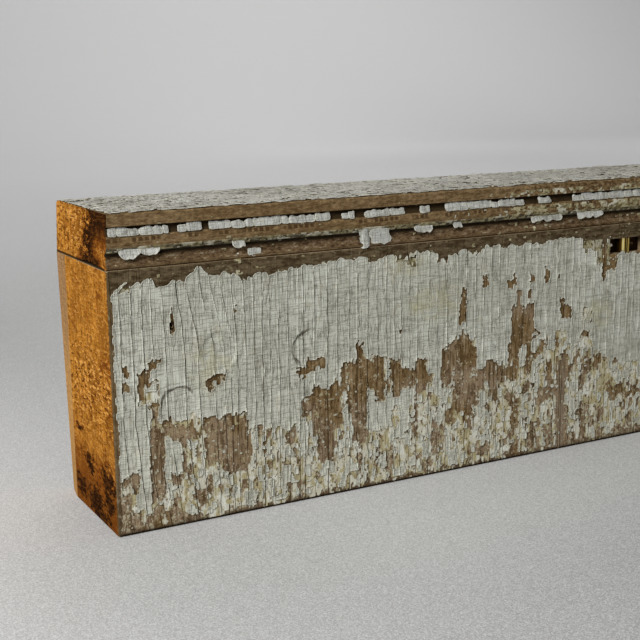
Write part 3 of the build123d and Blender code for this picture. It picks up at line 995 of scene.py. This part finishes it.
def face_coats():
    """Which places of the face still hold each coat, as two functions of along and up."""
    bare = bare_places()
    jog, nick, hole, fine, island = blocks(101), blocks(102), lattice(103), lattice(104), lattice(105)
    scatter = lattice(106)

    def ragged(along, up):
        across = along + 1.2 * (nick(along / 3 + 50, up / 2.4) - 0.5)
        jump = 4.4 * (jog(along / 3.1, up / 40) - 0.5)
        return across, up + jump + 1.8 * (jog(along / 1.3 + 9, up / 15) - 0.5)

    def lost(along, up):
        chips = 0.3 * hole(along / 4.2, up / 7.5) + 0.12 * fine(along / 1.3, up / 2.3)
        tall = up + 5 * jog(along / 2.9, up * 0)
        chips = chips + 0.4 * nick(along / 3.1 + 40, tall / 5.2)
        chips = chips + 0.17 * nick(along / 1.5 + 90, up / 2.4 + 30)
        near_corner = (1 - smooth(up, 4, 16)) * (1 - smooth(along, 20, 34))
        near_foot = 0.3 * (1 - smooth(up, 1.5, 7)) + 0.16 * near_corner
        return chips + near_foot > 0.675 + 0.1 * in_boxes(HOLD_ONS, along, up)

    def cream_left(along, up):
        across, height = ragged(along, up)
        low = height < film_foot(across) + 9
        low |= in_boxes(CREAM + OLD_COAT, across, height)
        crumbs = fine(along / 1.5 + 31, up / 1.9) > 0.79
        gone = in_boxes(bare, across, height) & ~(crumbs & (up < 66))
        keep = low & ~gone & ~(lost(along, up) & (up < film_foot(along) - 3))
        return keep & (up > 1.6) & (up < film_head(along) - 2.5)

    def grey_left(along, up):
        across, height = ragged(along, up)
        keep = height > film_foot(across)
        keep |= in_boxes(HOLD_ONS, across, height)
        stepped = up + 4 * nick(along / 2.6 + 20, up * 0)
        islands = 0.45 * island(along / 4, up / 8) + 0.55 * jog(along / 2.6 + 70, stepped / 5)
        keep |= (islands > 0.6) & (up > 4)
        below = up < film_foot(along) - 3
        keep &= ~(below & lost(along, up))
        keep &= ~in_boxes(bare, across, height)
        thin = scatter(along / 1.7, up / 1.9) > 0.34
        keep &= ~(in_boxes(CREAM, across, height) & thin) & ~in_boxes(OLD_COAT, across, height)
        keep &= along > 0.9 + 1.5 * hole(up / 4.5, up * 0 + 7) + 0.9 * jog(up / 1.7, up * 0 + 3)
        keep &= np.hypot(along - NAIL_HOLE[0], up - NAIL_HOLE[1]) > 1.9
        return keep
    return cream_left, grey_left


def film_grid(cracks, cell, row):
    """A film's grid: its points before they move, which part of a crack each is on, how far the crack moves
    it, and how open the crack is there."""
    lines, parts = column_lines(cracks, cell)
    across, up = np.meshgrid(lines, np.arange(FILM_START, FILM_HEAD + 0.01, row))
    part = np.broadcast_to(parts, across.shape)
    away, crack = crack_offsets(across, up, part)
    return across, up, part, away, crack


def grey_film(name, cracks, cell, material, grey_left):
    """The grey film between two cracks: plates with lifted edges and arched heads, parted by cracks whose
    beds are painted dark as their shade.
    """
    wave, ripple, curl, cup = lattice(111), lattice(112), lattice(114), blocks(115)
    across, up, part, away, crack = film_grid(cracks, cell, cell * 1.1)
    plate = np.cumsum(part == 1, axis=1)
    along = across + away + lean(across, up)
    along = along + 0.3 * cell * (part == 0) * (ripple(across / 1.1, up / 1.7 + 20) - 0.5)
    head = film_head(across) - FILM_HEAD + 2.6 * (cup(plate + cracks[0], plate * 0) - 0.5)
    head += 2.0 * (cup(across / 2.7, across * 0 + 5) - 0.5) + 1.2 * (ripple(across / 0.9, across * 0) - 0.5)
    arch = 0.7 * (abs(part) == 2) + 1.9 * (abs(part) == 1)
    up = up + (head - arch) * smooth(up, FILM_HEAD - 9, FILM_HEAD)
    up = up + 0.35 * cell * (ripple(across / 1.1, up / 1.3 + 40) - 0.5)
    kept = part_corners(grey_left(middles(along), middles(up)))
    along, up = round_off(along, up, kept)
    edge_wear_and_light = at_edge(kept)
    lift = 0.14 + 0.25 * wave(across / 14, up / 18) + 0.14 * ripple(across / 3, up / 5)
    lift += (part == -2) * (0.1 + 0.38 * curl(across / 3, up / 16))
    lift += (part == 2) * 0.2 * curl(across / 3 + 60, up / 16)
    lift += edge_wear_and_light * (0.1 + 0.4 * curl(across / 2 + 20, up / 5))
    lift -= crack * (0.3 + lift)
    behind = -GREY_THICK - lift + dent_depth(along, up)
    # The right lip of each plate also takes the painted highlight.
    edge_wear_and_light = np.maximum(edge_wear_and_light, (part == -2) * (0.35 + 0.5 * curl(across / 3, up / 9 + 30)))
    marks = {"edge_wear_and_light": edge_wear_and_light, "crack": crack}
    return lay_film(name, along, behind, up, kept, marks, GREY_THICK, material)


def cream_film(name, cracks, cell, material, cream_left):
    """The older coat, thin, full of small holes, and cracked along the same lines."""
    wave = lattice(121)
    across, up, part, away, crack = film_grid(cracks, cell, cell * 1.15)
    jitter = 0.35 * cell
    along = across + away * 0.9 + lean(across, up)
    along = along + jitter * (part == 0) * (wave(across / 1.3, up / 1.9) - 0.5)
    up = up + jitter * (wave(across / 1.5 + 80, up / 1.5) - 0.5)
    kept = part_corners(cream_left(middles(along), middles(up)))
    along, up = round_off(along, up, kept)
    marks = {"edge_wear_and_light": at_edge(kept), "crack": np.minimum(crack * 1.5, 1)}
    behind = -0.2 - 0.14 * wave(across / 4, up / 7) + 0.14 * marks["crack"] + dent_depth(along, up)
    return lay_film(name, along, behind, up, kept, marks, CREAM_THICK, material)


def wood_checks(name, cracks, material):
    """Thin dark sheets on the bare face, painted shade for its checks, in line with the cracks above them."""
    lines = np.repeat(np.array(cracks[1:-1]), 2)
    side = np.tile([-1.0, 1.0], len(cracks) - 2)
    levels = np.arange(2.0, 108.0, 2.5)
    presence, drift = lattice(151), lattice(CRACK_SEED + 1)
    across, up = np.meshgrid(lines, levels)
    side = np.broadcast_to(side, across.shape)
    number = crack_number(across)
    half = 0.23 * smooth(presence(number, up / 14), 0.32, 0.72) + 0.02
    along = across + side * half + lean(across, up) + 0.7 * (drift(number, up / 9) - 0.5)
    kept = (side[:-1, :-1] == -1) & (presence(middles(number), middles(up) / 14) > 0.38)
    behind = -0.06 + dent_depth(along, up)
    return lay_film(name, along, behind, up, kept, {}, CHECK_THICK, material)


def top_film(name, start, end, cell, material):
    """The film on the cap's top, crackled into long flakes along the grain and chipped along its edges."""
    lines = np.arange(start, end + 0.01, cell)
    levels = np.arange(0.8, CAP_BACK - 2.6, cell * 0.7)
    wave, chip, tear, edge = lattice(131), lattice(132), lattice(133), lattice(134)
    across, back = np.meshgrid(lines, levels)
    along = across + 0.8 * cell * (wave(across / 2.4, back / 1.8) - 0.5)
    behind = back + 0.6 * cell * (wave(across / 2.2 + 80, back / 1.5) - 0.5)
    mid_along = (along[:-1, :-1] + along[1:, 1:]) / 2
    mid_behind = (behind[:-1, :-1] + behind[1:, 1:]) / 2
    worn_away = 0.6 * chip(mid_along / 5.5, mid_behind / 2.1) + 0.4 * tear(mid_along / 2.3, mid_behind / 1.2)
    margin = 0.22 * (1 - smooth(mid_behind, 0.5, 4.5)) + 0.2 * smooth(mid_behind, CAP_BACK - 14, CAP_BACK - 6)
    margin += smooth(mid_along, 190, 280) * (0.06 + 0.13 * (1 - smooth(mid_behind, 2, 14)))
    kept = worn_away + margin < 0.69
    kept &= mid_behind > edge(mid_along / 9, mid_behind * 0) * 2.6 + 0.2
    kept &= mid_behind < CAP_BACK - 3 - 4 * edge(mid_along / 21 + 30, mid_behind * 0)
    kept = part_corners(kept)
    along, behind = round_off(along, behind, kept, turns=2)
    edge_wear_and_light = at_edge(kept)
    flow = np.abs(wave(across / 7, back / 2.4) - 0.5)
    flow = np.minimum(flow, np.abs(tear(across / 3.6, back / 3.1) - 0.5) * 1.3)
    calm = 0.2 + 0.5 * smooth(across, 190, 300) * smooth(back, 8, 18)
    split = (1 - smooth(flow, 0.02, 0.09)) * (edge(across / 5 + 9, back / 3) > calm) * (edge_wear_and_light == 0)
    lift = 0.3 + 0.5 * wave(across / 5 + 20, back / 2.2) - 0.3 * split
    lift = lift + edge_wear_and_light * 0.3 * wave(across / 3, back / 2)
    over_back = np.clip(behind - (CAP_BACK - TOP_BACK_ROUND), 0, TOP_BACK_ROUND)
    up = TOP + lift - (TOP_BACK_ROUND - np.sqrt(TOP_BACK_ROUND ** 2 - over_back ** 2))
    marks = {"edge_wear_and_light": edge_wear_and_light, "crack": split}
    return lay_film(name, along, behind, up, kept, marks, TOP_THICK, material)


# Plates in the cove and flakes in the quirk

def cove_plates(name, runs, cell, material):
    """The paint that fills the cove, broken into short plates with rounded corners."""
    draw = np.random.default_rng(23)
    wave = lattice(141)
    pieces = []
    for start, end in runs:
        spans, place = [], start
        while place < end - 2.5:
            wide = min(draw.choice([4.5, 7.5, 10.0, 13.0, 17.0]) + draw.uniform(-0.8, 0.8), end - place)
            if end - place - wide < 3:
                wide = end - place
            spans.append((place, place + wide))
            place += wide
        for left, right in spans:
            pieces.append(cove_plate(left, right, cell, draw, wave))
    return join_films(name, pieces, material)


def oblong(columns, rows):
    """Two grids that run from -1 to 1: one from left to right, and one from foot to head."""
    return np.meshgrid(np.linspace(-1, 1, columns + 1), np.linspace(-1, 1, rows + 1))


def cove_plate(left, right, cell, draw, wave):
    """The grid of one plate: a rounded oblong that follows the cove's slope and bulges a little."""
    foot = COVE_FOOT + draw.uniform(-0.1, 0.35)
    head = FILLET_FOOT - draw.uniform(0.0, 1.2)
    columns = max(4, round((right - left) / cell))
    sideways, upward = oblong(columns, 6)
    half_wide, half_high = (right - left) / 2 - 0.06, (head - foot) / 2
    square = 1 - 0.7 / half_wide
    along = (left + right) / 2 + half_wide * sideways * (1 - 0.05 * upward ** 4)
    up = (foot + head) / 2 + half_high * upward * (1 - 0.16 * smooth(np.abs(sideways), square, 1))
    along = along + 0.6 * (wave(along / 2.2, up / 1.4) - 0.5)
    chipped_head = (1.6 * (wave(along / 1.9 + 30, up * 0) - 0.5) - 0.3) * (upward + 1) / 2
    up = up + chipped_head + 0.5 * (wave(along / 3, up) - 0.5)
    bulge = 0.3 * (1 - sideways ** 6) * (1 - upward ** 4) + 0.6 * wave(along / 3.1, up / 2.2 + 50)
    slope = 0.85 + 0.75 * upward
    behind = slope - bulge - draw.uniform(0, 0.3)
    edge_wear_and_light = np.maximum(np.abs(sideways), np.abs(upward)) ** 6
    return along, behind, up, edge_wear_and_light, PLATE_THICK


def flake(low_along, high_along, low_up, high_up, top_behind, foot_behind, roll, scallop, thick):
    """The grid of one loose flake: hung from its top, its foot standing out, rolled about an upright line."""
    draw = lattice(int(low_along * 7) % 251)
    sideways, upward = oblong(max(12, round(high_along - low_along)), 8)
    half_wide, half_high = (high_along - low_along) / 2, (high_up - low_up) / 2
    along = (low_along + high_along) / 2 + half_wide * sideways * (1 - 0.06 * np.abs(upward) ** 3)
    up = (low_up + high_up) / 2 + half_high * upward * (1 - 0.1 * sideways ** 4)
    up = up + scallop * (1 - upward) / 2 * sideways ** 2
    along = along + np.minimum(2.4, half_wide * 0.3) * (draw(up / 1.9, up * 0) - 0.5) * np.abs(sideways)
    torn_foot = 1.9 * (draw(along / 2.1 + 30, along * 0) - 0.5) * (1 - upward) / 2
    up = up + torn_foot + 0.6 * (draw(along / 1.6, up) - 0.5)
    behind = foot_behind + (top_behind - foot_behind) * ((upward + 1) / 2) ** 0.7
    behind = behind + roll * sideways ** 2 - 0.25 * draw(along / 3, up / 2)
    edge_wear_and_light = np.maximum(np.abs(sideways), np.abs(upward)) ** 6
    return along, behind, up, edge_wear_and_light, thick


def quirk_flakes():
    """The flakes that still hang under the bead, and more past the photograph's edge."""
    flakes = [flake(*values) for values in FLAKES]
    draw = np.random.default_rng(29)
    place = SEEN_END + 16
    while place < LENGTH - 30:
        wide = draw.uniform(6, 22)
        foot = draw.uniform(151.6, 153.2)
        flakes.append(flake(place, place + wide, foot, 156.3, 1.4, -0.5, 0, 0.5, 0.5))
        place += wide + draw.uniform(14, 70)
    return flakes


def face_depth(levels):
    """How far the wood's face stands behind the front plane at each height, felt with a straight probe."""
    probe = FRONT - 20
    depths = []
    for level in levels:
        hits = []
        for name in ("cap_moulding", "frieze_timber"):
            node = frame["nodes"][name]
            back = node.matrix_world.inverted()
            start = back @ Vector(((LEFT + LENGTH * 0.7) * MM, probe * MM, level * MM))
            found, place, _, _ = node.ray_cast(start, back.to_3x3() @ Vector((0, 1, 0)))
            if found:
                hits.append((node.matrix_world @ place).y / MM - FRONT)
        depths.append(min(hits))
    return np.array(depths)


def crust_left(along, up):
    """Which places of the moulded face still hold crumbs of old paint."""
    grain, fine, blot = lattice(161), lattice(162), lattice(163)
    crumb = 0.6 * grain(along / 2.6, up / 1.3) + 0.4 * fine(along / 1.1, up / 0.9)
    rightward = smooth(along + 50 * (blot(along / 40, along * 0) - 0.5), 228, 290)
    patch = blot(along / 13, up * 0 + 20)
    on_bead = rightward * (0.24 + 0.68 * patch) - 0.05 + 0.25 * smooth(along, 325, 345)
    share = 0.03 * patch - 0.06
    for low, high, here in (
            (QUIRK + 0.5, BEAD_FOOT + 0.6, 0.5 + 0.3 * patch),
            (BEAD_FOOT + 0.6, COVE_FOOT - 0.8, on_bead),
            (FILLET_FOOT, 172.4, rightward * (0.26 + 0.5 * patch) - 0.06),
            (LIP_HEAD, QUIRK - 1, 0.42 * rightward * patch - 0.06),
            (0, TIMBER_TOP - 1, 0.34 * patch * (1 - smooth(up, 138, 142)) - 0.02)):
        share = np.where((up > low) & (up < high), here, share)
    return crumb > 0.5 + 0.27 * (1 - 2 * share)


def crust_film(name, start, end, cell, material):
    """Crumbs of old paint on the moulding's face and on the bare band below it, with no lone specks."""
    lines = np.arange(start, end, cell)
    levels = np.arange(137.5, FILLET_FOOT + 5, 0.62)
    wave, rough = lattice(164), lattice(165)
    across, up = np.meshgrid(lines, levels)
    depth = np.broadcast_to(face_depth(levels)[:, None], across.shape)
    along = across + 0.6 * cell * (wave(across / 1.4, up / 1.1) - 0.5)
    kept = part_corners(crust_left(middles(along), middles(up)))
    around = np.pad(kept, 1).astype(int)
    neighbours = around[:-2, 1:-1] + around[2:, 1:-1] + around[1:-1, :-2] + around[1:-1, 2:]
    kept &= neighbours > 1
    behind = depth - 0.14 - 0.55 * rough(across / 1.3, up / 1.0) ** 2
    steep = np.abs(np.diff(depth, axis=0)) > 0.9
    kept &= ~steep[:, :-1]
    marks = {"edge_wear_and_light": at_edge(kept), "crack": along * 0}
    return lay_film(name, along, behind, up, kept, marks, CRUST_THICK, material)


def join_films(name, grids, material):
    """Several small plates as one piece, each laid as a film of its own."""
    parts = []
    for number, (along, behind, up, edge_wear_and_light, thickness) in enumerate(grids):
        kept = np.ones((along.shape[0] - 1, along.shape[1] - 1), bool)
        marks = {"edge_wear_and_light": edge_wear_and_light, "crack": edge_wear_and_light * 0}
        part = lay_film(f"{name}.part{number}", along, behind, up, kept, marks, thickness, material)
        parts.append(part)
    deselect_all()
    for part in parts:
        part.select_set(True)
    bpy.context.view_layer.objects.active = parts[0]
    bpy.ops.object.join()
    piece = bpy.context.object
    piece.name = name
    return piece


def dress_nodes():
    """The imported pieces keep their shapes, and get their finishes."""
    finishes = {"cap_moulding": moulding_wood(), "frieze_timber": timber_wood(),
                "brass_fitting": old_brass(), "round_head_pins": pin_brass()}
    for name, material in finishes.items():
        node = frame["nodes"][name]
        node.data.materials.clear()
        node.data.materials.append(material)


def lay_paint():
    """All that is left of the paint."""
    grey = grey_paint("grey_coat", (184, 185, 174), (163, 163, 151), (118, 116, 101),
                      rings=RINGS, tints=TINTS)
    white = grey_paint("cove_coat", (172, 173, 167), (156, 157, 150), (104, 101, 90), cream=0.2, crackle=0.6)
    chalky = grey_paint("top_coat", (190, 189, 180), (158, 156, 148), (108, 103, 93), cream=0.1, far=0.22)
    cream = cream_paint()
    cream_left, grey_left = face_coats()
    cracks = [0.8] + all_cracks() + [LENGTH - 1.6]
    first, second = cracks.index(LEFT_FILM_END), cracks.index(SEEN_END)
    grey_film("face_film_left", cracks[:first + 1], 0.85, grey, grey_left)
    grey_film("face_film_middle", cracks[first:second + 1], 0.95, grey, grey_left)
    grey_film("face_film_right", cracks[second:], 1.7, grey, grey_left)
    cream_film("cream_coat_left", cracks[:second + 1], 0.95, cream, cream_left)
    cream_film("cream_coat_right", cracks[second:], 1.9, cream, cream_left)
    # The checks are thin dark sheets of painted shade.
    wood_checks("face_checks", cracks, check_shade())
    top_film("cap_film_left", 1.6, NEAR_END, 1.5, chalky)
    top_film("cap_film_right", NEAR_END, LENGTH - 1.0, 2.4, chalky)
    cove_plates("cove_paint", COVE_RUNS, 1.0, white)
    join_films("quirk_flakes", quirk_flakes(), white)
    crust = old_crust()
    crust_film("crust_left", 1.0, NEAR_END, 0.8, crust)
    crust_film("crust_right", NEAR_END, LENGTH - 1.5, 1.5, crust)


make_camera()
make_studio()
make_floor()
dress_nodes()
lay_paint()
